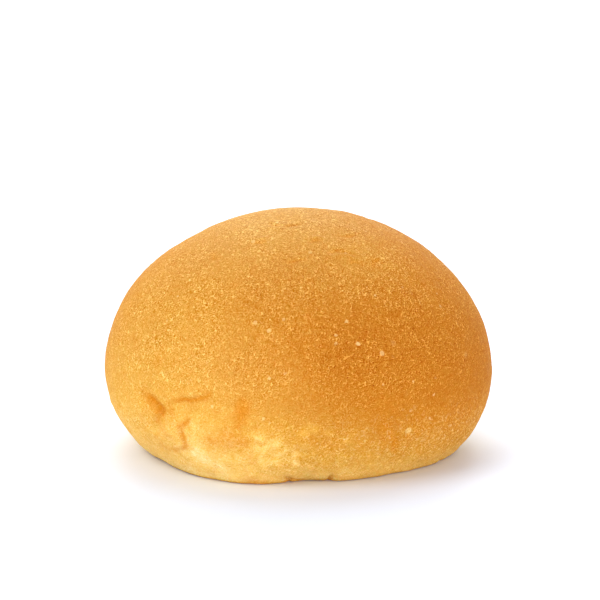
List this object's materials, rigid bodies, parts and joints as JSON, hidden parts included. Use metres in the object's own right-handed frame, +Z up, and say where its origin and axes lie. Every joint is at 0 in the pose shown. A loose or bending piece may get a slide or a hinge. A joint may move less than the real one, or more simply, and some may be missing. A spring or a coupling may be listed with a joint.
{
  "type": "bread roll",
  "caption": "Soft round bread roll with a low browned dome, a full belly, pinched creases low on one side and a flat baked base.",
  "frame": {"origin": "under the middle of the roll's outline, on the surface that it rests on", "axes": "+Z up through the crown; -Y is the front, with the pinched creases low at its left; +X is to the right seen from the front"},
  "size_m": [0.0918, 0.0912, 0.0566],
  "materials": {
    "crust": "matt baked crust, golden brown on the crown and pale yellow low down, finely flaked and pitted"
  },
  "bodies": {
    "root": {"bread_roll": "crust"}
  },
  "joints": []
}
